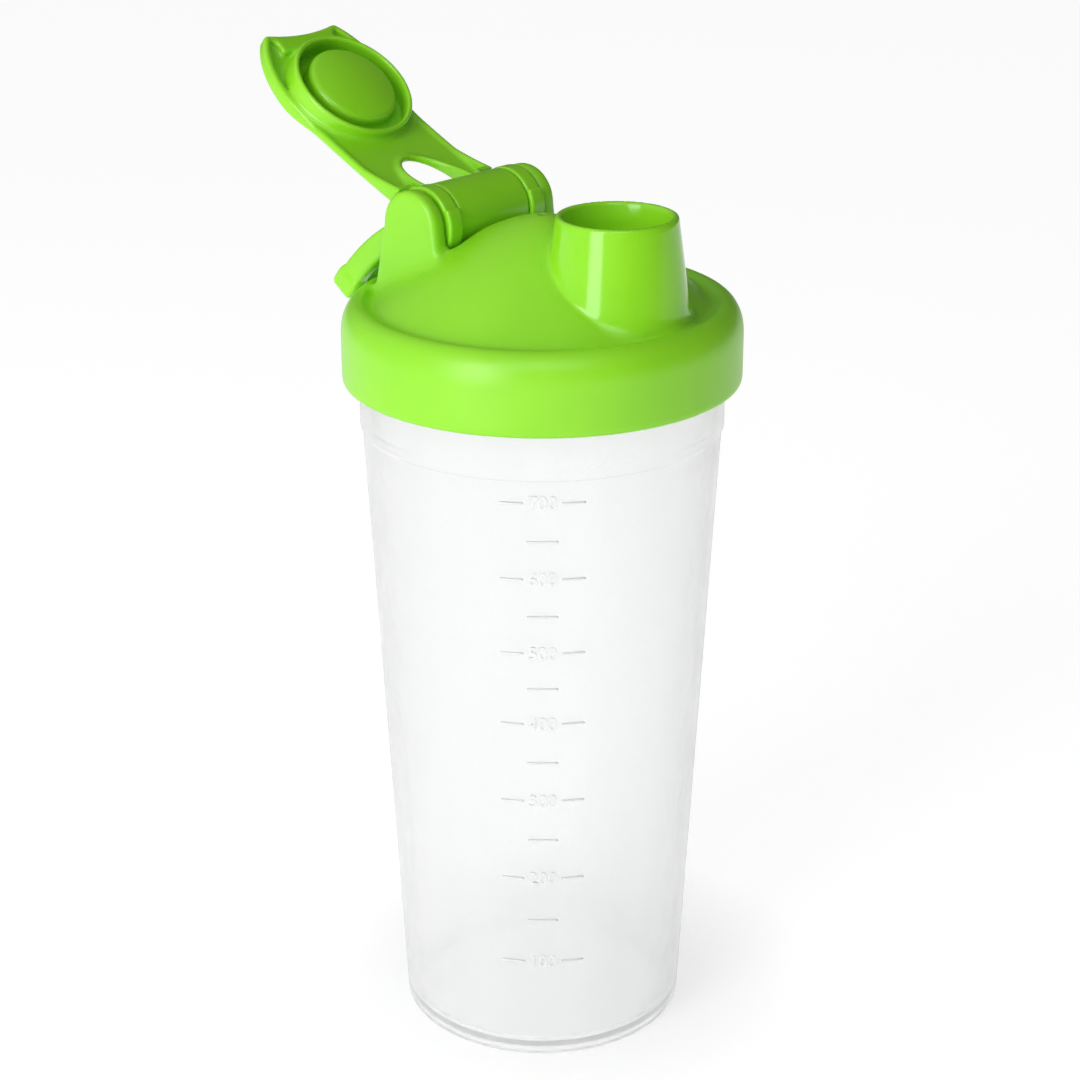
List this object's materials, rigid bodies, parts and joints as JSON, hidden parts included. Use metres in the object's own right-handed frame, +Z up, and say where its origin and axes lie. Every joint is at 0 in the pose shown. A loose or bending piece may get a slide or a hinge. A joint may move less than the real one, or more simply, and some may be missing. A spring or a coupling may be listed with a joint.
{
  "type": "protein shaker bottle",
  "caption": "Tapered clear shaker cup with a screw-on domed lid, round spout, flip cap, carry loop and mixing strainer.",
  "frame": {"origin": "centre of the cup's flat base, on the surface it stands on", "axes": "+Z up along the cup's axis, -Y towards the spout, +Y towards the hinge, X along the hinge pin"},
  "size_m": [0.098, 0.1362, 0.2465],
  "materials": {
    "cup": "translucent frosted polypropylene",
    "lid": "satin moulded plastic",
    "seal": "soft silicone",
    "strainer": "moulded plastic",
    "hinge_pin": "smooth moulded plastic",
    "flip_cap": "satin moulded plastic",
    "carry_loop": "satin moulded plastic"
  },
  "bodies": {
    "cup": {"cup": "cup"},
    "seal": {"lid_seal": "seal"},
    "lid": {"lid": "lid", "strainer": "strainer", "hinge_pin": "hinge_pin"},
    "flip_cap": {"flip_cap": "flip_cap"},
    "carry_loop": {"carry_loop": "carry_loop"}
  },
  "joints": [
    {"name": "lid_lift", "type": "slide", "parent": "cup", "child": "seal", "axis": [0, 0, 1], "range_m": [0, 0.018]},
    {"name": "lid_turn", "type": "hinge", "parent": "seal", "child": "lid", "pos_m": [0, 0, 0.187], "axis": [0, 0, 1], "range_deg": [0, 1440]},
    {"name": "flip_cap_hinge", "type": "hinge", "parent": "lid", "child": "flip_cap", "pos_m": [0, 0.0242, 0.2089], "axis": [1, 0, 0], "range_deg": [0, 140]},
    {"name": "carry_loop_hinge", "type": "hinge", "parent": "lid", "child": "carry_loop", "pos_m": [0, 0.0242, 0.2089], "axis": [1, 0, 0], "range_deg": [0, 22]}
  ],
  "couplings": [
    {"joint": "lid_lift", "follows": "lid_turn", "m_per_rad": 0.0007162}
  ]
}
